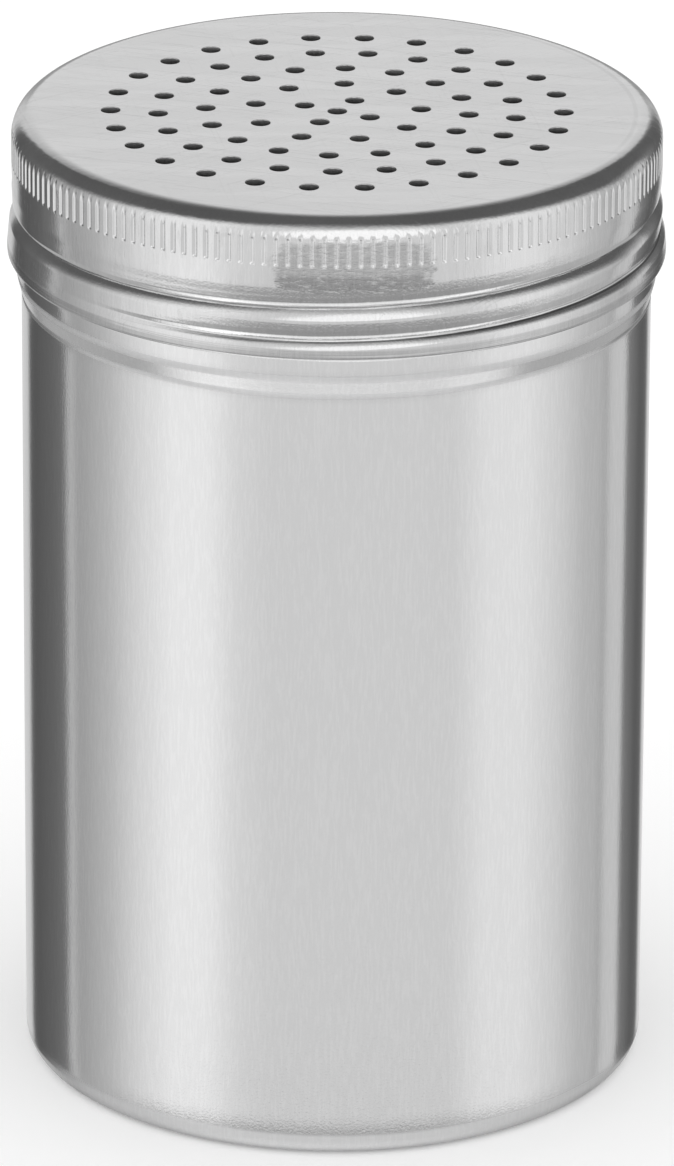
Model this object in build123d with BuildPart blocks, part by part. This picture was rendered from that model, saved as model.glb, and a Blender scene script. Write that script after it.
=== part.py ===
"""Shaker for salt, sugar or spice: a drawn aluminium container and its perforated screw lid.

Two separate pieces, each pressed from one sheet: the container with its bead and rolled neck
thread, and the lid with its holes, fluted grip and rolled skirt thread. Millimetres. +Z is up,
and the origin is the centre of the base, on the surface that the shaker stands on.
"""

import os

from build123d import *

# ---------------------------------------------------------------- driving dimensions
sheet = 0.8                 # thickness of the aluminium that both pieces are drawn from
inside_bend = 0.4           # radius on the hollow side of every small bend in the sheet

# Container
wall_radius = 33.4          # outside of the straight wall
wall_height = 86.5          # from the base to where the bead starts
base_corner = 2.0           # outside radius between the base and the wall
bead_depth = 0.5            # how far the bead stands out from the wall
bead_flat = 2.5             # height of the bead, up to where it draws in to the neck
bead_slope = 2.0            # height in which the wall swells out to the bead
shoulder_slope = 1.0        # height in which it draws in

# Lid
lid_height = 15.1           # from the rim to the top
top_corner = 2.4            # outside radius between the top and the skirt
rim_flare = 0.5             # how far the rim stands out from the skirt
rim_band = 0.8              # height of the straight band at the rim
flare_height = 5.5          # height of the flare above that band
flare_bend = 15.0           # radius with which the skirt turns out into the flare

# Fits between the two
rim_clearance = 0.2         # around the bead, inside the rim
rim_drop = 0.1              # how far the rim hangs below the bead's upper end
seat_gap = 0.3              # between the container's lip and the underside of the lid's top
thread_clearance = 0.3      # between the crests of the two threads

# Thread, rolled into both pieces, right-handed
thread_pitch = 3.6          # rise in one turn
thread_depth = 0.55         # from the sheet's face to the bottom of the groove
thread_width = 1.95         # across the mouth of the groove
thread_overrun = 3.0        # angle by which the ridge outlasts the groove at each end
thread_bed = 0.15           # how far inside the sheet's other face a ridge is bedded
lid_thread_height = 2.44    # groove's middle above the rim, at azimuth 0
lid_thread_start = -76.0    # azimuth of its lower end, in degrees
lid_thread_turns = 1.75
neck_thread_start = -60.0
neck_thread_turns = 1.9

# Fluted grip around the top of the skirt
flute_count = 172
flute_radius = 0.3
flute_depth = 0.2
flute_drop = 5.1            # from the lid's top to the flutes' lower ends

# Holes in the lid's top: one in the middle, then rings of evenly spaced ones
hole_diameter = 2.05
first_ring = 3.9            # radius of the innermost ring
ring_step = 5.0             # from each ring to the next
ring_counts = (4, 9, 16, 21, 26)
ring_turns = (-28.0, 5.3, -3.5, -5.6, 0.0)      # azimuth of each ring's first hole

# ---------------------------------------------------------------- derived sizes
outside_bend = inside_bend + sheet
edge_round = 0.4 * sheet        # rounding of the trimmed edges, at the lip and at the rim

bead_radius = wall_radius + bead_depth
rim_radius = bead_radius + rim_clearance + sheet
skirt_radius = rim_radius - rim_flare
skirt_inner = skirt_radius - sheet
lid_crest = skirt_inner - thread_depth
neck_crest = lid_crest - thread_clearance
neck_radius = neck_crest - thread_depth

bead_start = wall_height + bead_slope
bead_end = bead_start + bead_flat
shoulder_end = bead_end + shoulder_slope
rim_z = bead_end - rim_drop
top_z = rim_z + lid_height
mouth_z = top_z - sheet - seat_gap

groove_arc = (thread_width**2 / 4 + thread_depth**2) / (2 * thread_depth)
ridge_arc = groove_arc + sheet
arc_offset = groove_arc - thread_depth          # from the sheet's face out to both arcs' centre
lid_thread_z = rim_z + lid_thread_height
neck_thread_z = lid_thread_z + thread_pitch / 2


class Thread:
    """A round groove rolled into one face of a sheet, which raises a ridge on the other face."""

    def __init__(self, face_radius, side, start_angle, turns, zero_z):
        """The groove is rolled from outside where side is 1, and from inside where it is -1.

        zero_z is the height of the thread's middle where its helix passes azimuth 0.
        """
        self.radius = face_radius + side * arc_offset
        self.start_angle = start_angle
        self.turns = turns
        self.zero_z = zero_z

    def strip(self, arc, low, high, overrun=0, ball_ends=False):
        """The round section of radius arc, kept between two radii, along the helix.

        overrun is how far the strip runs on past each end of the thread, in degrees.
        """
        start_angle = self.start_angle - overrun
        turns = self.turns + overrun / 180
        start_z = self.zero_z + thread_pitch * start_angle / 360
        with BuildPart() as strip:
            with BuildLine():
                path = Helix(thread_pitch, thread_pitch * turns, self.radius, (0, 0, start_z))
            with BuildSketch(Plane(origin=path @ 0, x_dir=(1, 0, 0), z_dir=path % 0)):
                Circle(arc)
                with Locations(((low + high) / 2 - self.radius, 0)):
                    Rectangle(high - low, 2 * arc, mode=Mode.INTERSECT)
            sweep(path=path, is_frenet=True)
            if ball_ends:
                with Locations(path @ 0, path @ 1):
                    Sphere(arc)
        return strip.part.rotate(Axis.Z, start_angle)


os.makedirs("parts", exist_ok=True)

# ---------------------------------------------------------------- container
neck_inner = neck_radius - sheet
neck_thread = Thread(neck_inner, -1, neck_thread_start, neck_thread_turns, neck_thread_z)
neck_ridge = neck_thread.strip(ridge_arc, neck_inner + thread_bed, neck_crest + sheet,
                               overrun=thread_overrun)
neck_groove = neck_thread.strip(groove_arc, neck_inner - sheet, neck_crest, ball_ends=True)

with BuildPart() as container:
    with BuildSketch(Plane.XZ):
        with BuildLine():
            outside = FilletPolyline(
                (0, 0),
                (wall_radius, 0),
                (wall_radius, wall_height),
                (bead_radius, bead_start),
                (bead_radius, bead_end),
                (neck_radius, shoulder_end),
                (neck_radius, mouth_z),
                radius=(base_corner, inside_bend, outside_bend, outside_bend, inside_bend),
            )
            offset(outside, amount=sheet, side=Side.LEFT)
        make_face()
    revolve(axis=Axis.Z)
    fillet(container.edges().group_by(Axis.Z)[-1], radius=edge_round)
    add(neck_ridge)
    add(neck_groove, mode=Mode.SUBTRACT)
container.part.label = "container"
export_step(container.part, "parts/container.step")

# ---------------------------------------------------------------- lid
lid_thread = Thread(skirt_radius, 1, lid_thread_start, lid_thread_turns, lid_thread_z)
lid_ridge = lid_thread.strip(ridge_arc, lid_crest - sheet, skirt_radius - thread_bed,
                             overrun=thread_overrun)
lid_groove = lid_thread.strip(groove_arc, lid_crest, skirt_radius + sheet, ball_ends=True)

with BuildPart() as lid:
    with BuildSketch(Plane.XZ):
        with BuildLine():
            outside = FilletPolyline(
                (0, top_z),
                (skirt_radius, top_z),
                (skirt_radius, rim_z + rim_band + flare_height),
                (rim_radius, rim_z + rim_band),
                (rim_radius, rim_z),
                radius=(top_corner, flare_bend, outside_bend),
            )
            offset(outside, amount=sheet, side=Side.RIGHT)
        make_face()
    revolve(axis=Axis.Z)
    fillet(lid.edges().group_by(Axis.Z)[0], radius=edge_round)
    add(lid_ridge)
    with BuildSketch(Plane.XY.offset(rim_z)):
        Circle(rim_radius)
    extrude(amount=-thread_pitch, mode=Mode.SUBTRACT)
    add(lid_groove, mode=Mode.SUBTRACT)

    with BuildSketch(Plane.XY.offset(top_z - flute_drop)):
        with PolarLocations(skirt_radius + flute_radius - flute_depth, flute_count):
            Circle(flute_radius)
    extrude(amount=flute_drop, mode=Mode.SUBTRACT)

    with BuildSketch(Plane.XY.offset(top_z)):
        Circle(hole_diameter / 2)
        for ring, (count, turn) in enumerate(zip(ring_counts, ring_turns)):
            with PolarLocations(first_ring + ring * ring_step, count, start_angle=turn):
                Circle(hole_diameter / 2)
    extrude(amount=-sheet, mode=Mode.SUBTRACT)
lid.part.label = "lid"
export_step(lid.part, "parts/lid.step")
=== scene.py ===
from math import ceil, cos, pi, radians, sin, tau

import bpy
import numpy as np
from mathutils import Matrix, Vector
from mathutils.geometry import delaunay_2d_cdt


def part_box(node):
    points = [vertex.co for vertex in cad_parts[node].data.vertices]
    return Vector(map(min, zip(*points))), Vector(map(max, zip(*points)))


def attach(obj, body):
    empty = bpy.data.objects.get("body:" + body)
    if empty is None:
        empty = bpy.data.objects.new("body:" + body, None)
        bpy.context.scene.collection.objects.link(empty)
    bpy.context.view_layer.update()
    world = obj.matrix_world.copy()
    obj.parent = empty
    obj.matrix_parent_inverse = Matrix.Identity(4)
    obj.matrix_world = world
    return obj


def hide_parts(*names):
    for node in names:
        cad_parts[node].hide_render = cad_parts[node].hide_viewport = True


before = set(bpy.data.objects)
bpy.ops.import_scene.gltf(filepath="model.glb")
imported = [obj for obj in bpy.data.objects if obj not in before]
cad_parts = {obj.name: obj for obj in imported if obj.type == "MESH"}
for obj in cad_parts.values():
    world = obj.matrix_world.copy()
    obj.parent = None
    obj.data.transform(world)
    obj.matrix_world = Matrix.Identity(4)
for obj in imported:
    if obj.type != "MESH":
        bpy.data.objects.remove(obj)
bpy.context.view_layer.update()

# The shaker's looks: both pieces are sheet aluminium of one thickness, so each is one closed
# mesh, swept round the axis from an outline, with its rolled thread and pressed grip worked
# into the mesh. Metres, in the CAD model's frame: +Z up, the front at -Y.

MM = 0.001
MICRON = 0.000001

# ---------------------------------------------------------------- sizes shared with the CAD model
SHEET = 0.8 * MM
INSIDE_BEND = 0.4 * MM
OUTSIDE_BEND = INSIDE_BEND + SHEET

WALL_RADIUS = 33.4 * MM
BASE_CORNER = 2.0 * MM
BEAD_FLAT = 2.5 * MM
BEAD_SLOPE = 2.0 * MM
SHOULDER_SLOPE = 1.0 * MM
RIM_DROP = 0.1 * MM
NECK_RADIUS = 32.2 * MM

TOP_CORNER = 2.4 * MM
RIM_FLARE = 0.5 * MM
RIM_BAND = 0.8 * MM
FLARE_HEIGHT = 5.5 * MM
FLARE_BEND = 15.0 * MM

THREAD_PITCH = 3.6 * MM
THREAD_DEPTH = 0.55 * MM
THREAD_WIDTH = 1.95 * MM
LID_THREAD_HEIGHT = 2.44 * MM
LID_THREAD = (-155.0, 1.97)         # azimuth where it starts, in degrees, and its turns
LID_THREAD_LEVEL = -95.0            # up to this azimuth it runs level
NECK_THREAD = (-60.0, 1.9)

FLUTE_COUNT = 172
FLUTE_RADIUS = 0.3 * MM
FLUTE_DEPTH = 0.2 * MM
FLUTE_DROP = 5.1 * MM

HOLE_RADIUS = 1.025 * MM
FIRST_RING = 3.9 * MM
RING_STEP = 5.0 * MM
RING_COUNTS = (4, 9, 16, 21, 26)
RING_TURNS = (-28.0, 5.3, -3.5, -5.6, 0.0)

# Heights and the two outer radii come from the frame
CONTAINER_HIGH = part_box("container")[1]
LID_LOW, LID_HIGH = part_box("lid")
MOUTH_Z = CONTAINER_HIGH.z
RIM_Z = LID_LOW.z
TOP_Z = LID_HIGH.z
BEAD_RADIUS = CONTAINER_HIGH.x
RIM_RADIUS = LID_HIGH.x
SKIRT_RADIUS = RIM_RADIUS - RIM_FLARE
BEAD_END = RIM_Z + RIM_DROP
SHOULDER_END = BEAD_END + SHOULDER_SLOPE
FLARE_SLOPE = RIM_FLARE / FLARE_HEIGHT
BEAD_START = BEAD_END - BEAD_FLAT
WALL_HEIGHT = BEAD_START - BEAD_SLOPE
LID_THREAD_Z = RIM_Z + LID_THREAD_HEIGHT
NECK_THREAD_Z = LID_THREAD_Z + THREAD_PITCH / 2

# ---------------------------------------------------------------- how finely the meshes are made
# Fine columns in one flute pitch, in parts of it. They gather at the flute's edges.
FLUTE_COLUMNS = (-0.5, -0.27, -0.225, -0.175, -0.11, 0.0, 0.11, 0.175, 0.225, 0.27)
COLUMNS_PER_STEP = 5                # fine columns to one coarse column
BEND_STEPS = 10                     # rows round a small bend
ROW = 0.1 * MM                      # between rows across the thread
BEAD_ROW = 4 * ROW
WIDE_ROW = 3.0 * MM                 # between rows on the plain wall
HOLE_POINTS = 32
POLE_RADIUS = 1 * MM                # of the fan that closes the base in the middle
GUARD = 0.5 * MM                    # flat margin kept inside the lid's corner
WELD = 1e-9                         # nearer than this, in metres, two points of a plate are one

# ---------------------------------------------------------------- forms of the rolled detail
TAPER = 55.0                        # degrees in which a rolled thread fades out
ROUND_REACH = 0.55                  # half a round groove, in widths of its mouth
FLUTE_FADE = 0.3 * MM               # height in which a flute's lower end rises to the skirt
FLUTE_TOP = 1.4 * MM                # from the lid's top to the flutes' upper ends
FLUTE_TOP_FADE = 0.8 * MM
FLUTE_MARGIN = 0.6 * MM             # how far the fine columns run on below the flutes
EDGE_POWER = 0.6                    # roundness of the sheet's cut edges: 1 is round, 0 square

# Section of a punched hole, in millimetres: out from its bore, and down from the lid's top. The
# punch draws the top edge in over a small radius and leaves the lower edge sharper.
HOLE_SECTION = ((0.12, 0), (0.06, 0), (0.025, 0.008), (0.007, 0.028), (0, 0.06),
                (0, 0.74), (0.005, 0.785), (0.02, 0.8), (0.12, 0.8))

# The lid's groove, which the roller pressed to a sharp notch with a long slope above it:
# heights from the notch in millimetres, and the depth at each, below the notch in parts of the
# whole, above it in millimetres
FLANK_HEIGHTS = (-1.3, -1.1, -0.9, -0.73, -0.57, -0.42, -0.28, -0.14, 0)
FLANK_DEPTHS = (0, 0.075, 0.185, 0.30, 0.42, 0.555, 0.69, 0.84, 1)
SLOPE_HEIGHTS = (0, 0.20, 0.60, 1.15, 1.75, 2.25, 2.65)
SLOPE_DEPTHS = (0.45, 0.33, 0.17, 0.10, 0.05, 0.015, 0)
NOTCH_DEPTH = 0.8 * MM              # where it is deepest, and where the thread starts
NOTCH_START_DEPTH = 0.45 * MM
NOTCH_DEEPENS = (-60.0, 150.0)      # azimuths between which it deepens
NOTCH_RISE = 0.44 * MM              # how far the notch lies above the helix's middle
LIP_HEIGHTS = (0.02, 0.14)          # between these the full depth rises to the slope
LEVEL_HEIGHT = 2.1                  # above the notch, up to which the flare is pressed upright
LEVEL_FADES = (30.0, 90.0)          # azimuths between which that is lost
INNER_DEPTH = 0.6 * MM              # how far the sheet's inner face follows the groove


# ---------------------------------------------------------------- outlines
def rounded(corners, radii, rows, outward):
    """The outline through corners, (radius, height) each, with its inner corners rounded.

    rows holds the longest step along each straight stretch. outward is 1 where the outside
    lies to the right of the outline's direction, -1 where it lies to the left. Returns the
    points and their outward normals, one row each.
    """
    corners = [np.array(c) for c in corners]
    ends = []                       # where each bend leaves one stretch and joins the next
    for before, corner, after, radius in zip(corners, corners[1:], corners[2:], radii):
        come = (corner - before) / np.linalg.norm(corner - before)
        go = (after - corner) / np.linalg.norm(after - corner)
        turn = np.arctan2(come[0] * go[1] - come[1] * go[0], come @ go)
        reach = radius * np.tan(abs(turn) / 2)
        ends.append((corner - come * reach, corner + go * reach, come, turn, radius))
    starts = [corners[0]] + [e[1] for e in ends]
    stops = [e[0] for e in ends] + [corners[-1]]
    points, normals = [], []
    for i, (start, stop) in enumerate(zip(starts, stops)):
        length = np.linalg.norm(stop - start)
        along = (stop - start) / length
        normal = outward * np.array((along[1], -along[0]))
        for t in np.linspace(0, 1, max(1, ceil(length / rows[i])) + 1):
            points.append(start + (stop - start) * t)
            normals.append(normal)
        if i < len(ends):
            _, _, come, turn, radius = ends[i]
            side = np.array((-come[1], come[0])) * np.sign(turn)
            centre = stop + side * radius
            for t in np.linspace(0, 1, BEND_STEPS + 1)[1:-1]:
                c, s = np.cos(turn * t), np.sin(turn * t)
                spoke = -side * radius
                spoke = np.array((c * spoke[0] - s * spoke[1], s * spoke[0] + c * spoke[1]))
                points.append(centre + spoke)
                heading = np.array((c * come[0] - s * come[1], s * come[0] + c * come[1]))
                normals.append(outward * np.array((heading[1], -heading[0])))
    return np.array(points), np.array(normals)


def cut_edge(outer, inner, up):
    """The rounded edge of the sheet, from outer to inner, both left out.

    up is 1 where this is the sheet's upper end, -1 where it is the lower one.
    """
    middle = (outer + inner) / 2
    spoke = outer - middle
    along = up * np.array((-spoke[1], spoke[0]))
    points = []
    for angle in np.linspace(0, pi, BEND_STEPS + 1)[1:-1]:
        c, s = cos(angle), sin(angle)
        out = np.sign(c) * abs(c) ** EDGE_POWER
        points.append(middle + spoke * out + along * s ** EDGE_POWER)
    return np.array(points)


# ---------------------------------------------------------------- rolled and pressed detail
def smooth(x):
    """0 below 0, 1 above 1, and a smooth step between them."""
    x = np.clip(x, 0, 1)
    return x * x * (3 - 2 * x)


def round_groove(across, along):
    """Depth of the neck's groove at a distance from its middle, the same all along the thread."""
    off = np.clip(np.abs(across) / (ROUND_REACH * THREAD_WIDTH), 0, 1)
    return THREAD_DEPTH * (0.5 + 0.5 * np.cos(pi * off))


def notched_groove(across, along):
    """Depth of the lid's groove at a height above its middle and an azimuth along the thread."""
    first, last = NOTCH_DEEPENS
    deeper = smooth((along - first) / (last - first))
    deep = NOTCH_START_DEPTH + (NOTCH_DEPTH - NOTCH_START_DEPTH) * deeper
    above = (across - NOTCH_RISE) / MM
    flank = np.interp(above * NOTCH_DEPTH / deep, FLANK_HEIGHTS, FLANK_DEPTHS) * deep
    slope = np.interp(above, SLOPE_HEIGHTS, SLOPE_DEPTHS) * MM
    first, last = LEVEL_FADES
    pressed = smooth((last - along) / (last - first))
    level = FLARE_SLOPE * np.clip(LEVEL_HEIGHT - above, 0, LEVEL_HEIGHT) * MM * pressed
    lip = np.interp(above, LIP_HEIGHTS, (1, 0))
    upper = np.maximum(slope + level, 0)
    return np.where(above < 0, flank, upper + (deep - upper) * lip)


def thread_depth(z, azimuth, zero_z, thread, groove, level=-360.0):
    """How far the thread displaces the sheet, at heights z and azimuths in degrees.

    thread holds the azimuth of its start and its turns. Up to the azimuth level it runs level.
    """
    start, turns = thread
    stop = start + 360 * turns
    depth = np.zeros(np.broadcast(z, azimuth).shape)
    for turn in range(-1, ceil(turns) + 1):
        along = azimuth + 360 * turn
        middle = zero_z + THREAD_PITCH * np.maximum(along, level) / 360
        fade = smooth((along - start) / TAPER) * smooth((stop - along) / TAPER)
        depth = np.maximum(depth, groove(z - middle, along) * fade)
    return depth


def flute_cut(radius, z, azimuth):
    """The lid's outside radius once the flutes are pressed in."""
    pitch = 360 / FLUTE_COUNT
    off = np.radians((azimuth / pitch - np.round(azimuth / pitch)) * pitch)
    centre = SKIRT_RADIUS + FLUTE_RADIUS - FLUTE_DEPTH
    across = centre * np.sin(off)
    inside = np.abs(across) < FLUTE_RADIUS
    bottom = centre * np.cos(off) - np.sqrt(np.maximum(FLUTE_RADIUS**2 - across**2, 0))
    risen = smooth((z - TOP_Z + FLUTE_DROP) / FLUTE_FADE)
    press = risen * smooth((TOP_Z - FLUTE_TOP - z) / FLUTE_TOP_FADE)
    return radius - np.maximum(radius - bottom - FLUTE_DEPTH * (1 - press), 0) * inside


# ---------------------------------------------------------------- meshes
class Shell:
    """Collects the rings and the faces of one closed piece."""

    def __init__(self):
        self.points = []
        self.faces = []

    def ring(self, x, y, z):
        """Adds a ring of points and returns their numbers."""
        first = len(self.points)
        z = np.broadcast_to(z, np.shape(x))
        self.points.extend(zip(map(float, x), map(float, y), map(float, z)))
        return np.arange(first, len(self.points))

    def rings(self, radius, z, azimuth):
        """A ring for each row of radius and z, which may differ from column to column."""
        c, s = np.cos(np.radians(azimuth)), np.sin(np.radians(azimuth))
        return [self.ring(r * c, r * s, h) for r, h in zip(radius, z)]

    def bridge(self, a, b):
        """Quads between two rings of the same length."""
        quads = np.stack([a, np.roll(a, -1), np.roll(b, -1), b], 1)
        self.faces.extend(map(tuple, quads.tolist()))

    def skin(self, rings):
        """Quads between each ring and the next."""
        for a, b in zip(rings, rings[1:]):
            self.bridge(a, b)

    def step(self, fine, coarse):
        """Triangles between a ring and one with COLUMNS_PER_STEP times fewer points."""
        n, half = len(coarse), COLUMNS_PER_STEP // 2
        for k in range(n):
            here, there = int(coarse[k]), int(coarse[(k + 1) % n])
            run = [int(fine[(COLUMNS_PER_STEP * k + i) % len(fine)])
                   for i in range(COLUMNS_PER_STEP + 1)]
            for i in range(COLUMNS_PER_STEP):
                self.faces.append((here if i < half else there, run[i], run[i + 1]))
            self.faces.append((here, run[half], there))

    def pole(self, ring, z):
        """Closes a ring with a fan about the axis."""
        tip = int(self.ring([0.0], [0.0], z)[0])
        for a, b in zip(ring.tolist(), np.roll(ring, -1).tolist()):
            self.faces.append((a, b, tip))

    def plate(self, border, holes, z):
        """A flat face at height z, inside the border ring and round the hole rings."""
        loops = [border] + holes
        numbers = np.concatenate(loops)
        flat = [Vector(self.points[i][:2]) for i in numbers]
        edges, first = [], 0
        for loop in loops:
            n = len(loop)
            edges += [(first + i, first + (i + 1) % n) for i in range(n)]
            first += n
        made, _, faces, origin, _, _ = delaunay_2d_cdt(flat, edges, [], 1, WELD)
        centres = np.array([np.mean([self.points[i][:2] for i in h], 0) for h in holes])
        reach = np.linalg.norm(np.array(self.points[holes[0][0]][:2]) - centres[0])
        for face in faces:
            middle = np.mean([made[i] for i in face], 0)
            if np.linalg.norm(centres - middle, axis=1).min() > reach:
                self.faces.append(tuple(int(numbers[origin[i][0]]) for i in face))

    def make(self, name, material, body, node):
        """Makes the object, riding on body in place of the CAD node."""
        mesh = bpy.data.meshes.new(name)
        mesh.from_pydata(self.points, [], self.faces)
        mesh.validate()
        piece = bpy.data.objects.new(name, mesh)
        bpy.context.scene.collection.objects.link(piece)
        bpy.context.view_layer.objects.active = piece
        piece.select_set(True)
        bpy.ops.object.mode_set(mode="EDIT")
        bpy.ops.mesh.select_all(action="SELECT")
        bpy.ops.mesh.normals_make_consistent(inside=False)
        bpy.ops.object.mode_set(mode="OBJECT")
        mesh.shade_smooth()
        mesh.materials.append(material)
        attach(piece, body)
        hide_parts(node)
        return piece


def columns():
    """Azimuths of the fine columns, which gather at the flutes' edges, and of the coarse ones."""
    pitch = 360 / FLUTE_COUNT
    fine = [(k + c) * pitch for k in range(FLUTE_COUNT) for c in FLUTE_COLUMNS]
    return np.array(fine), np.array(fine[::COLUMNS_PER_STEP])


FINE, COARSE = columns()


def make_container(material):
    """The container: its outside, lip and inside, closed in the middle of the base."""
    outer, normals = rounded(
        [(POLE_RADIUS, 0), (WALL_RADIUS, 0), (WALL_RADIUS, WALL_HEIGHT),
         (BEAD_RADIUS, BEAD_START), (BEAD_RADIUS, BEAD_END), (NECK_RADIUS, SHOULDER_END),
         (NECK_RADIUS, MOUTH_Z - SHEET / 2)],
        radii=(BASE_CORNER, INSIDE_BEND, OUTSIDE_BEND, OUTSIDE_BEND, INSIDE_BEND),
        rows=(WIDE_ROW, WIDE_ROW, ROW, BEAD_ROW, ROW, ROW), outward=1)
    inner = outer - normals * SHEET
    shell = Shell()

    def side(rows):
        z = rows[:, 1:] + 0 * COARSE
        rolled = thread_depth(z, COARSE[None], NECK_THREAD_Z, NECK_THREAD, round_groove)
        return shell.rings(rows[:, :1] + rolled * (z > SHOULDER_END), z, COARSE)

    outside = side(outer)
    lip = side(cut_edge(outer[-1], inner[-1], up=1))
    inside = side(inner[::-1])
    shell.skin(outside + lip + inside)
    shell.pole(outside[0], outer[0][1])
    shell.pole(inside[-1], inner[0][1])
    return shell.make("container_shell", material, "container", "container")


def hole_rings(shell):
    """The punched holes: for each, its ring in the top face and its ring in the underside."""
    centres = [(0.0, 0.0)]
    for number, (count, turn) in enumerate(zip(RING_COUNTS, RING_TURNS)):
        radius = FIRST_RING + number * RING_STEP
        angles = [radians(turn + 360 * k / count) for k in range(count)]
        centres += [(radius * cos(a), radius * sin(a)) for a in angles]
    around = np.arange(HOLE_POINTS) * tau / HOLE_POINTS
    above, below = [], []
    for x, y in centres:
        rings = [shell.ring(x + (HOLE_RADIUS + out * MM) * np.cos(around),
                            y + (HOLE_RADIUS + out * MM) * np.sin(around), TOP_Z - down * MM)
                 for out, down in HOLE_SECTION]
        shell.skin(rings)
        above.append(rings[0])
        below.append(rings[-1])
    return above, below


def make_lid(material):
    """The lid: fine columns down to below the grip, coarse ones from there, and flat plates."""
    flat_radius = SKIRT_RADIUS - TOP_CORNER - GUARD
    flute_end = TOP_Z - FLUTE_DROP - FLUTE_MARGIN
    flare_top = RIM_Z + RIM_BAND + FLARE_HEIGHT
    outer, normals = rounded(
        [(flat_radius, TOP_Z), (SKIRT_RADIUS, TOP_Z), (SKIRT_RADIUS, flare_top),
         (RIM_RADIUS, RIM_Z + RIM_BAND), (RIM_RADIUS, RIM_Z + SHEET / 2)],
        radii=(TOP_CORNER, FLARE_BEND, OUTSIDE_BEND), rows=(GUARD, ROW, ROW, ROW), outward=-1)
    inner = outer - normals * SHEET
    shell = Shell()

    def rolled(z, azimuth, most=1.0):
        depth = thread_depth(z, azimuth[None], LID_THREAD_Z, LID_THREAD, notched_groove,
                             LID_THREAD_LEVEL)
        return np.minimum(depth * smooth((z - RIM_Z - RIM_BAND / 2) / (RIM_BAND / 2)), most)

    fluted = outer[outer[:, 1] > flute_end]
    plain = outer[outer[:, 1] <= flute_end]
    z = fluted[:, 1:] + 0 * FINE
    grip = flute_cut(fluted[:, :1] + 0 * FINE, z, FINE[None])
    fine = shell.rings(grip - rolled(z, FINE), z, FINE)

    def side(rows, most=1.0):
        z = rows[:, 1:] + 0 * COARSE
        return shell.rings(rows[:, :1] - rolled(z, COARSE, most), z, COARSE)

    skirt = side(plain)
    rim = side(cut_edge(outer[-1], inner[-1], up=-1))
    inside = side(inner[::-1], INNER_DEPTH)
    shell.skin(fine)
    shell.step(fine[-1], skirt[0])
    shell.skin(skirt + rim + inside)
    border = shell.rings([flat_radius - GUARD], [TOP_Z], COARSE)[0]
    shell.step(fine[0], border)
    above, below = hole_rings(shell)
    shell.plate(border, above, TOP_Z)
    shell.plate(inside[-1], below, TOP_Z - SHEET)
    return shell.make("lid_shell", material, "lid", "lid")


# ---------------------------------------------------------------- materials
class Nodes:
    """Short hand for building a node tree."""

    def __init__(self, tree):
        self.tree = tree
        tree.nodes.clear()

    def add(self, kind, *links, **settings):
        """Adds a node. links are (input, value or output socket); settings are its properties."""
        node = self.tree.nodes.new(kind)
        for name, value in settings.items():
            setattr(node, name, value)
        for name, value in links:
            if isinstance(value, bpy.types.NodeSocket):
                self.tree.links.new(value, node.inputs[name])
            else:
                node.inputs[name].default_value = value
        return node

    def math(self, operation, *values):
        """A math node, its values in the order of its inputs."""
        node = self.add("ShaderNodeMath", *enumerate(values), operation=operation)
        return node.outputs[0]

    def fold(self, operation, values):
        """One value, made from all by an operation on two at a time."""
        result = values[0]
        for value in values[1:]:
            result = self.math(operation, result, value)
        return result

    def total(self, *values):
        """The sum of any number of values."""
        return self.fold("ADD", values)

    def product(self, *values):
        """The product of any number of values."""
        return self.fold("MULTIPLY", values)

    def weighted(self, *pairs):
        """The sum of any number of values, each times its weight."""
        return self.total(*(self.product(value, weight) for value, weight in pairs))

    def length(self, a, b):
        """The length of the vector (a, b)."""
        return self.math("SQRT", self.total(self.product(a, a), self.product(b, b)))

    def azimuth(self, x, y):
        """The angle round the axis from the front, right positive, in radians."""
        return self.math("ARCTAN2", x, self.product(y, -1.0))

    def blend(self, low, high, by):
        """low where by is 0, high where it is 1."""
        node = self.add("ShaderNodeMapRange", ("Value", by), ("To Min", low), ("To Max", high))
        return node.outputs[0]

    def mixed(self, low, high, by):
        """The colour low where by is 0, high where it is 1. high may be one number, a grey."""
        if isinstance(high, float):
            high = (high, high, high, 1.0)
        node = self.add("ShaderNodeMix", ("Factor", by), (6, low), (7, high), data_type="RGBA")
        return node.outputs[2]

    def step(self, value, start, end, before, after):
        """before up to start, after from end on, and smooth between them."""
        node = self.add("ShaderNodeMapRange", ("Value", value), ("From Min", start),
                        ("From Max", end), ("To Min", before), ("To Max", after),
                        interpolation_type="SMOOTHSTEP")
        return node.outputs[0]

    def above(self, value, start, soft):
        """1 where value is above start, fading over soft below it."""
        return self.step(value, start - soft, start, 0.0, 1.0)

    def below(self, value, stop, soft):
        """1 where value is below stop, fading over soft above it."""
        return self.step(value, stop, stop + soft, 1.0, 0.0)

    def window(self, value, start, stop, soft):
        """1 where value lies between start and stop, fading over soft at each end."""
        return self.product(self.above(value, start, soft), self.below(value, stop, soft))

    def band(self, value, middle, half, soft):
        """1 where value is within half of middle, fading over soft at each end."""
        return self.window(value, middle - half, middle + half, soft)

    def noise(self, place, scale, detail=2.0, rough=0.6):
        """Noise about 0.5 whose grain is stretched by scale, (x, y, z) in cycles per metre."""
        spread = self.add("ShaderNodeVectorMath", (0, place), (1, scale), operation="MULTIPLY")
        node = self.add("ShaderNodeTexNoise", ("Vector", spread.outputs[0]), ("Scale", 1.0),
                        ("Detail", detail), ("Roughness", rough))
        return node.outputs[0]


REFLECTANCE = 0.90                  # of clean aluminium
METAL_TONES = ((0.86, 0.86, 0.865, 1.0), (0.94, 0.94, 0.94, 1.0))
DIRT_AND_SHADE_TONE = 0.20                    # the grey that marks darken it to: real stains and dirt, and painted shade too
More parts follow.
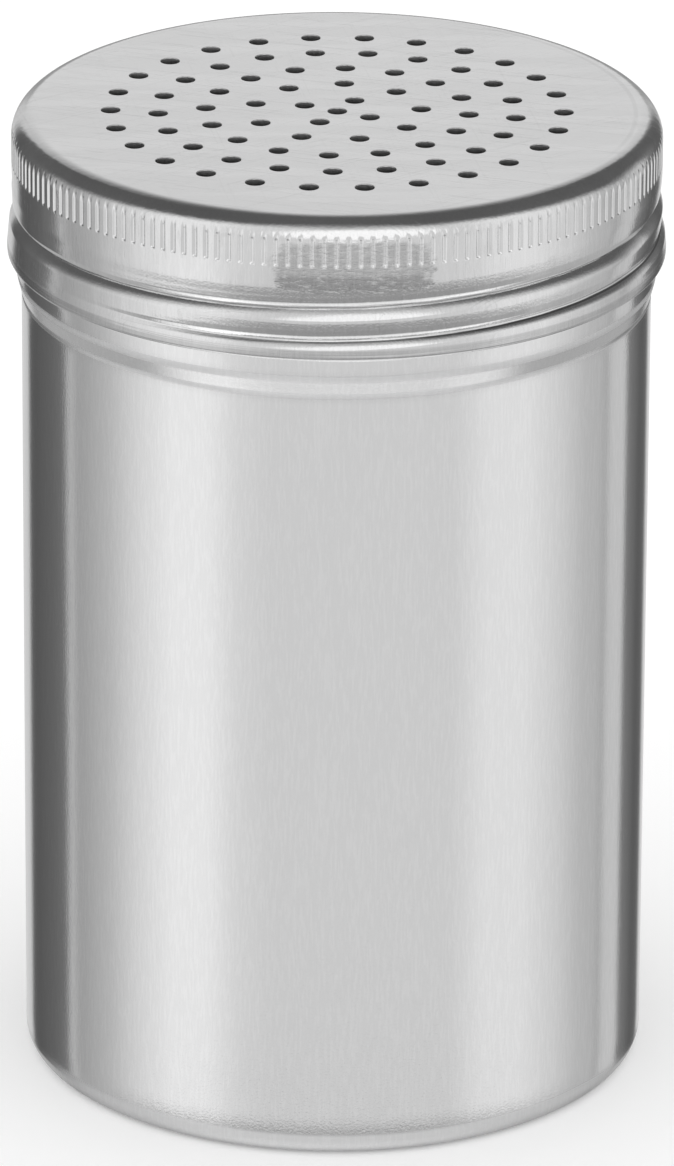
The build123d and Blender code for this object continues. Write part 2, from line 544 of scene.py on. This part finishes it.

# Grains of the noises that both pieces have, in cycles per metre along x, y and z
STREAKS = (3400.0, 3400.0, 420.0)
GRAIN = (4200.0, 4200.0, 4200.0)
HAZE = (90.0, 90.0, 45.0)
PATCHES = (330.0, 330.0, 160.0)

GRAIN_HEIGHT = 7.0                  # micrometres
STREAK_TONE = 0.045                 # how far the stronger streaks are darkened
HAZE_ROUGH = 0.04                   # how far haze and patches change the roughness
PATCHES_ROUGH = 0.06


def metal(name, roughness, brushed, marks):
    """Drawn aluminium: streaks along the drawing direction, grain, haze and a piece's own marks.

    brushed is the height of the streaks in micrometres. marks takes the nodes, the place, its
    three coordinates, its azimuth from the front and its distance from the axis. It returns what
    the piece adds to the roughness and to the height in metres, and how far it is darkened.
    """
    material = bpy.data.materials.new(name)
    material.use_nodes = True
    n = Nodes(material.node_tree)
    place = n.add("ShaderNodeTexCoord").outputs["Object"]
    x, y, z = n.add("ShaderNodeSeparateXYZ", ("Vector", place)).outputs
    streaks = n.noise(place, STREAKS, detail=3.0)
    grain = n.noise(place, GRAIN)
    haze = n.noise(place, HAZE, 4.0, 0.55)
    patches = n.noise(place, PATCHES, 3.0, 0.55)
    more_rough, more_height, darker = marks(n, place, (x, y, z), n.azimuth(x, y), n.length(x, y))
    beside_top = n.below(z, TOP_Z - 0.2 * MM, 0.2 * MM)     # the flat top has no streaks
    drawn = n.product(n.above(streaks, 0.56, 0.2), beside_top)
    darker = n.total(darker, n.product(drawn, STREAK_TONE))
    rough = n.total(n.blend(roughness - HAZE_ROUGH, roughness + HAZE_ROUGH, haze),
                    n.product(n.math("SUBTRACT", patches, 0.5), PATCHES_ROUGH), more_rough)
    height = n.total(n.weighted((streaks, brushed * MICRON), (grain, GRAIN_HEIGHT * MICRON)),
                     more_height)
    tone = n.mixed(*METAL_TONES, n.weighted((haze, 0.5), (grain, 0.5)))
    tone = n.mixed(tone, DIRT_AND_SHADE_TONE, darker)
    bump = n.add("ShaderNodeBump", ("Height", height), ("Strength", 1.0), ("Distance", 1.0))
    shader = n.add("ShaderNodeBsdfPrincipled", ("Base Color", tone), ("Metallic", 1.0),
                   ("Roughness", rough), ("Normal", bump.outputs[0])).outputs[0]
    n.add("ShaderNodeOutputMaterial", ("Surface", shader))
    return material


BEAD_LINES = (30.0, 30.0, 5200.0)   # grain of the turning lines round the bead
WORN_HEIGHT = 2.1 * MM              # up to which the base corner is worn dull and, in front, darkened with painted shade
WORN_ASIDE = 0.15                   # how much of that is left at the sides
# height of the painted shadow along the foot, where it meets the floor
FOOT_SHADOW_HEIGHT = 0.15 * MM
CREASE_AZIMUTH = 66                 # from here round to the back the crease is darkened with painted shade


def container_marks(n, place, spot, azimuth, reach):
    """What only the container has.

    Turning lines round the bead, its slope and bends rolled dull with the slope also darkened by
    painted shade, painted shade in the crease below it at the sides, and the base corner, worn
    dull in front and darkened there with painted shade, with a painted shadow along its foot.
    """
    z = spot[2]
    aside = n.math("ABSOLUTE", azimuth)
    lines = n.product(n.noise(place, BEAD_LINES), n.window(z, WALL_HEIGHT, RIM_Z, 0.6 * MM))
    # the bead's lower slope faces down: besides being rolled dull it is darkened a little with
    # painted shade
    slope = n.window(z, WALL_HEIGHT, BEAD_START, 1.2 * MM)
    bends = n.total(n.band(z, BEAD_START, 0.2 * MM, 0.3 * MM),
                    n.band(z, WALL_HEIGHT, 0.1 * MM, 0.3 * MM))
    # painted shade in the crease at the foot of the bead, from the sides round to the back
    crease_shade = n.product(n.band(z, WALL_HEIGHT, 0.1 * MM, 0.2 * MM),
                       n.above(aside, radians(CREASE_AZIMUTH), radians(16)))
    in_front = n.below(aside, radians(45), radians(25))
    # the base corner is worn dull (roughness), and in front also darkened with painted shade
    worn_and_shaded = n.product(n.below(z, WORN_HEIGHT, 0.8 * MM), n.blend(WORN_ASIDE, 1.0, in_front))
    # a painted shadow along the foot, where it meets the floor
    foot_shadow = n.below(z, FOOT_SHADOW_HEIGHT, 0.25 * MM)
    rough = n.weighted((slope, 0.10), (bends, 0.38), (worn_and_shaded, 0.50))
    darker = n.weighted((crease_shade, 0.5), (slope, 0.06), (worn_and_shaded, 0.08), (foot_shadow, 0.4))
    return rough, n.product(lines, 3.0 * MICRON), darker


# Grains of the lid's own noises
RIM_LINES = (30.0, 30.0, 6500.0)    # turning lines at the rim
DULL_LINES = (60.0, 60.0, 6500.0)   # the dull band over it
RAGGED = (500.0, 500.0, 900.0)      # the edge of the scuffed patch
SPOTS = (900.0, 900.0, 2600.0)      # the stains in it
KNOCKS = (420.0, 420.0, 420.0)      # dents round the corner
CLOUDS = (30.0, 220.0, 75.0)        # tarnish
SCRATCH = (70.0, 7000.0, 300.0)

# The scuffed patch in front: the azimuth of its middle and half its width, in degrees, and the
# middle's distance below the lid's top and half its height
PATCH_AZIMUTH = (3.2, 14.0)
PATCH_DROP = (4.95 * MM, 2.7 * MM)
PATCH_POWER = 4.0                   # how square it is
PATCH_RAGGED = 2.0                  # how far the noise moves its edge, in the same measure

SCRATCHES = ((0.3, 1.0), (1.4, 0.7), (2.5, 0.8))    # each set's turn in radians, and its weight
HOLES_REACH = 27 * MM               # from the axis to outside the outermost ring of holes
RING_MARK = 31.5 * MM               # radius of the faint ring on the top
RING_MARK_SPAN = (80, 140)          # azimuths between which it shows
NOTCH_SHADE_TURNS = (-0.25, 1.40)          # turns of the thread in whose notch shade is painted


def lid_marks(n, place, spot, azimuth, reach):
    """What only the lid has.

    Punched holes dull and darkened inside with painted shade, turning lines at the rim and a dull
    band over it, a scuffed and stained patch in front, painted shade in the notch of the thread,
    knocks round the corner, clouds of tarnish, a faint ring on the top, and scratches.
    """
    x, y, z = spot
    # the hole walls: dull, and darkened with painted shade
    bore = n.product(n.window(z, TOP_Z - SHEET, TOP_Z - 0.1 * MM, 0.05 * MM),
                     n.below(reach, HOLES_REACH, 0.5 * MM))
    band = n.window(z, RIM_Z, RIM_Z + RIM_BAND + 0.4 * MM, 0.3 * MM)
    lines = n.product(n.noise(place, RIM_LINES), band)
    dull = n.product(n.above(n.noise(place, DULL_LINES), 0.5, 0.2),
                     n.window(z, RIM_Z + 0.35 * MM, RIM_Z + 1.0 * MM, 0.25 * MM))

    def from_patch(value, middle, half):
        """How far value is from the patch's middle, in halves of its size, to PATCH_POWER."""
        off = n.math("DIVIDE", n.math("ABSOLUTE", n.math("SUBTRACT", value, middle)), half)
        return n.math("POWER", off, PATCH_POWER)

    middle, half = PATCH_AZIMUTH
    across = from_patch(azimuth, radians(middle), radians(half))
    middle, half = PATCH_DROP
    along = from_patch(z, TOP_Z - middle, half)
    ragged = n.product(n.math("SUBTRACT", n.noise(place, RAGGED, 3.0), 0.5), PATCH_RAGGED)
    patch = n.below(n.total(across, along, ragged), 0.6, 0.8)
    spots = n.noise(place, SPOTS, 4.0, 0.7)
    mottle = n.product(spots, patch)
    under_flutes = n.below(z, TOP_Z - FLUTE_DROP - 1.2 * MM, 0.6 * MM)
    pressed = n.product(n.below(reach, SKIRT_RADIUS - 0.07 * MM, 0.05 * MM),
                        n.above(z, TOP_Z - FLUTE_DROP, 0.2 * MM))
    # stained most below the flutes, less beside them and hardly at all in them
    stain = n.product(patch, n.blend(0.55, 1.0, under_flutes),
                      n.blend(0.35, 1.0, n.above(spots, 0.50, 0.16)), n.blend(1.0, 0.1, pressed))

    start, stop = RING_MARK_SPAN
    ring = n.product(n.band(reach, RING_MARK, 0.1 * MM, 0.25 * MM),
                     n.above(z, TOP_Z - 0.05 * MM, 0.02 * MM),
                     n.window(azimuth, radians(start), radians(stop), radians(25)))
    knocks = n.product(n.math("SUBTRACT", n.noise(place, KNOCKS, 4.0, 0.65), 0.5),
                       n.window(z, TOP_Z - 2.0 * MM, TOP_Z - 0.2 * MM, 0.3 * MM))
    clouds = n.above(n.noise(place, CLOUDS, 4.0), 0.56, 0.16)

    # painted shade lies just below the notch, which is found by the height off its helix, in
    # pitches
    notch_z = LID_THREAD_Z + NOTCH_RISE - 0.05 * MM
    turns = n.math("DIVIDE", n.math("SUBTRACT", z, notch_z), THREAD_PITCH)
    from_notch = n.math("SUBTRACT", turns, n.math("DIVIDE", n.math("ARCTAN2", y, x), tau))
    from_notch = n.math("SUBTRACT", from_notch, n.math("ROUND", from_notch))
    notch_shade = n.product(n.below(n.math("ABSOLUTE", from_notch), 0.014, 0.016),
                     n.window(turns, *NOTCH_SHADE_TURNS, 0.12))

    height = n.weighted((lines, 3.0 * MICRON), (mottle, 60 * MICRON), (knocks, 40 * MICRON),
                        (ring, -4.0 * MICRON))
    tarnish = n.weighted((clouds, 0.06), (dull, 0.30), (ring, 0.09))
    for angle, weight in SCRATCHES:
        turned = n.add("ShaderNodeVectorRotate", ("Vector", place), ("Angle", angle),
                       rotation_type="Z_AXIS").outputs[0]
        scratch = n.math("GREATER_THAN", n.noise(turned, SCRATCH, 1.0, 0.5), 0.70)
        height = n.total(height, n.product(scratch, -1.5 * weight * MICRON))
        tarnish = n.total(tarnish, n.product(scratch, 0.06 * weight))
    darker = n.total(n.weighted((bore, 0.55), (stain, 0.52), (notch_shade, 0.60)), tarnish)
    return n.weighted((bore, 0.3), (band, 0.1)), height, darker


# ---------------------------------------------------------------- studio
# Every level below is the grey that clean aluminium shows when it mirrors that part of the
# room, 0 black to 1 white. Angles are in degrees, azimuths from the front.

# At the height of the table, by azimuth, right positive. Read round the room: white backdrop
# behind, dark gaps beside it, then panels of light with the table between them.
ROOM = (
    (-180, 0.83), (-156, 0.75), (-152.5, 0.37), (-145, 0.33), (-128, 0.38), (-118.5, 0.43),
    (-116, 0.70), (-113, 0.68), (-110, 0.60), (-104, 0.63), (-92, 0.70), (-78, 0.82),
    (-62, 0.91), (-48, 0.91), (-36, 0.83), (-24, 0.80), (44, 0.80), (58, 0.87), (74, 0.87),
    (92, 0.79), (104, 0.71), (116, 0.68), (117, 0.62), (119, 0.62), (120, 0.74),
    (133.5, 0.75), (135, 0.47), (150, 0.34), (160, 0.38), (166, 0.79), (180, 0.83),
)

# The dark ceiling: its level, and the angles from its axis where it ends and where it is gone.
# The axis leans to the back from overhead.
CEILING = (0.33, 14, 59)
CEILING_TILT = 16

# The lamp in front: its level, its azimuth and half its width, its elevation and half its
# height. In parts of that size, it fades from LAMP_EDGE over LAMP_SOFT.
SOFTBOX = (0.98, 7, 30, 26, 26)
LAMP_EDGE = 0.7
LAMP_SOFT = 0.45

# Dark over the panels: its level and its azimuths to each side. Its lower edge is bowed:
# SIDES_EDGE has the sine of the edge's elevation in front, what that has lost at 60 degrees,
# which grows as the square of the azimuth, and the least that it comes to.
SIDES = (0.35, 44, 140)
SIDES_EDGE = (0.9, 0.2, 0.2)
SIDES_SOFT = 0.2                    # softness of the lower edge, as a sine
SIDES_FADE = 20                     # softness at the two azimuths

# The table towards the foot: each level that it turns a room of TABLE_AGAINST into, and the
# elevations where that starts and is full. TABLE_WIDTH has the azimuth where the table ends to
# the sides, and how softly.
TABLE = ((0.57, -26.3, -28.8), (0.84, -38, -42), (0.93, -46, -54))
TABLE_AGAINST = 0.80
TABLE_WIDTH = (72, 16)

# The table at the sides: its level, its azimuth and the two elevations
BESIDE = (0.66, 88, -26, -28.5)

# The shaded table behind, and the dark foot of the backdrop: the level, the azimuth and its
# softness, and the elevations between which it lies
UNDER = (0.38, 125, 20, -66, -46)
BACK = (0.57, 170, 8, -12, 8)
BEHIND_SOFT = 0.05                  # softness of both in height, as a sine


def light(level):
    """The world's light in which aluminium shows as this level."""
    return level ** 2.2 / REFLECTANCE


def make_world():
    """The room that the metal mirrors. Everything else sees plain white."""
    world = bpy.data.worlds.new("studio")
    bpy.context.scene.world = world
    world.use_nodes = True
    n = Nodes(world.node_tree)
    way = n.add("ShaderNodeTexCoord").outputs["Generated"]
    x, y, z = n.add("ShaderNodeSeparateXYZ", ("Vector", way)).outputs
    azimuth = n.azimuth(x, y)
    turned = n.math("ABSOLUTE", azimuth)

    def under(start, full):
        """1 under the elevation full, 0 above start."""
        low = sin(radians(full))
        return n.below(z, low, sin(radians(start)) - low)

    turn = n.add("ShaderNodeMapRange", ("Value", azimuth), ("From Min", -pi), ("From Max", pi))
    ramp = n.add("ShaderNodeValToRGB", ("Fac", turn.outputs[0]))
    stops = ramp.color_ramp.elements
    while len(stops) < len(ROOM):
        stops.new(0.5)
    for stop, (angle, level) in zip(stops, ROOM):
        stop.position = (angle + 180) / 360
        stop.color = (light(level), light(level), light(level), 1.0)
    room = ramp.outputs["Color"]

    shade = 1.0
    for level, start, full in TABLE:
        shade = n.blend(shade, light(level) / light(TABLE_AGAINST), under(start, full))
    width, soft = TABLE_WIDTH
    shade = n.blend(1.0, shade, n.below(turned, radians(width), radians(soft)))
    shade = n.add("ShaderNodeCombineXYZ", (0, shade), (1, shade), (2, shade)).outputs[0]
    room = n.add("ShaderNodeVectorMath", (0, room), (1, shade), operation="MULTIPLY").outputs[0]

    level, near, start, full = BESIDE
    beside = n.product(n.above(turned, radians(near), radians(soft)), under(start, full))
    room = n.mixed(room, light(level), beside)

    for level, near, soft, low, high in (UNDER, BACK):
        shaded = n.product(n.above(turned, radians(near), radians(soft)),
                           n.window(z, sin(radians(low)), sin(radians(high)), BEHIND_SOFT))
        room = n.mixed(room, light(level), shaded)

    level, near, far = SIDES
    middle, fall, least = SIDES_EDGE
    bow = n.math("DIVIDE", turned, radians(60))     # at 1, SIDES_EDGE's fall
    edge = n.math("SUBTRACT", middle, n.product(bow, bow, fall))
    over_edge = n.math("SUBTRACT", z, n.math("MAXIMUM", edge, least))
    aside = n.product(n.window(turned, radians(near), radians(far), radians(SIDES_FADE)),
                      n.above(over_edge, SIDES_SOFT, 2 * SIDES_SOFT))
    room = n.mixed(room, light(level), aside)

    level, middle, half, rise, high = SOFTBOX
    across = n.math("DIVIDE", n.math("SUBTRACT", azimuth, radians(middle)), radians(half))
    elevation = n.math("ARCSINE", z)
    along = n.math("DIVIDE", n.math("SUBTRACT", elevation, radians(rise)), radians(high))
    lamp = n.below(n.length(across, along), LAMP_EDGE, LAMP_SOFT)
    room = n.mixed(room, light(level), lamp)

    level, full, gone = CEILING
    lean = radians(CEILING_TILT)
    over = n.weighted((y, sin(lean)), (z, cos(lean)))
    inner = cos(radians(full))
    room = n.mixed(room, light(level), n.above(over, inner, inner - cos(radians(gone))))

    ray = n.add("ShaderNodeLightPath")
    seen = n.mixed((1.0, 1.0, 1.0, 1.0), room, ray.outputs["Is Glossy Ray"])
    background = n.add("ShaderNodeBackground", ("Color", seen), ("Strength", 1.0)).outputs[0]
    n.add("ShaderNodeOutputWorld", ("Surface", background))


FLOOR_HALF = 3.0                    # half its side, in metres
FLOOR_TONE = 0.97
FLOOR_LIFT = 0.10                   # light that only the camera sees, which makes it white


def make_floor():
    """A pale floor that takes the shaker's soft shadow. The metal mirrors the room instead."""
    mesh = bpy.data.meshes.new("floor")
    corners = ((-1, -1), (1, -1), (1, 1), (-1, 1))
    mesh.from_pydata([(x * FLOOR_HALF, y * FLOOR_HALF, 0) for x, y in corners], [], [(0, 1, 2, 3)])
    floor = bpy.data.objects.new("floor", mesh)
    bpy.context.scene.collection.objects.link(floor)
    material = bpy.data.materials.new("floor")
    material.use_nodes = True
    n = Nodes(material.node_tree)
    tone = (FLOOR_TONE, FLOOR_TONE, FLOOR_TONE, 1.0)
    diffuse = n.add("ShaderNodeBsdfDiffuse", ("Color", tone)).outputs[0]
    ray = n.add("ShaderNodeLightPath")
    strength = n.product(ray.outputs["Is Camera Ray"], FLOOR_LIFT)
    lift = n.add("ShaderNodeEmission", ("Strength", strength)).outputs[0]
    shader = n.add("ShaderNodeAddShader", (0, diffuse), (1, lift)).outputs[0]
    n.add("ShaderNodeOutputMaterial", ("Surface", shader))
    mesh.materials.append(material)
    floor.visible_glossy = False


# ---------------------------------------------------------------- camera
EYE_DISTANCE = 1.131                # from the point below to the camera
EYE_ELEVATION = 22.11
LOOK_HEIGHT = 48.0 * MM             # the height of that point, on the axis
AIM_RIGHT = 0.23 * MM
AIM_UP = 4.37 * MM
EYE_ROLL = 0.30                     # degrees
FOCAL_PIXELS = 10520
PICTURE_HEIGHT = 1166
SENSOR = 36.0


def make_camera():
    """The camera from which the shaker stands as in the photograph. It has no shift."""
    data = bpy.data.cameras.new("camera")
    data.sensor_width = SENSOR
    data.lens = FOCAL_PIXELS * SENSOR / PICTURE_HEIGHT
    data.clip_start = 0.01
    camera = bpy.data.objects.new("camera", data)
    bpy.context.scene.collection.objects.link(camera)
    rise = radians(EYE_ELEVATION)
    eye = Vector((0, -EYE_DISTANCE * cos(rise), LOOK_HEIGHT + EYE_DISTANCE * sin(rise)))
    back = (eye - Vector((AIM_RIGHT, 0, LOOK_HEIGHT + AIM_UP))).normalized()
    right = Vector((0, 0, 1)).cross(back).normalized()
    level = Matrix((right, back.cross(right), back)).transposed()
    turned = level @ Matrix.Rotation(radians(EYE_ROLL), 3, "Z")
    camera.matrix_world = Matrix.Translation(eye) @ turned.to_4x4()
    bpy.context.scene.camera = camera


make_container(metal("container_metal", roughness=0.09, brushed=4.0, marks=container_marks))
make_lid(metal("lid_metal", roughness=0.11, brushed=6.0, marks=lid_marks))
make_world()
make_floor()
make_camera()
bpy.context.scene.view_settings.view_transform = "Standard"
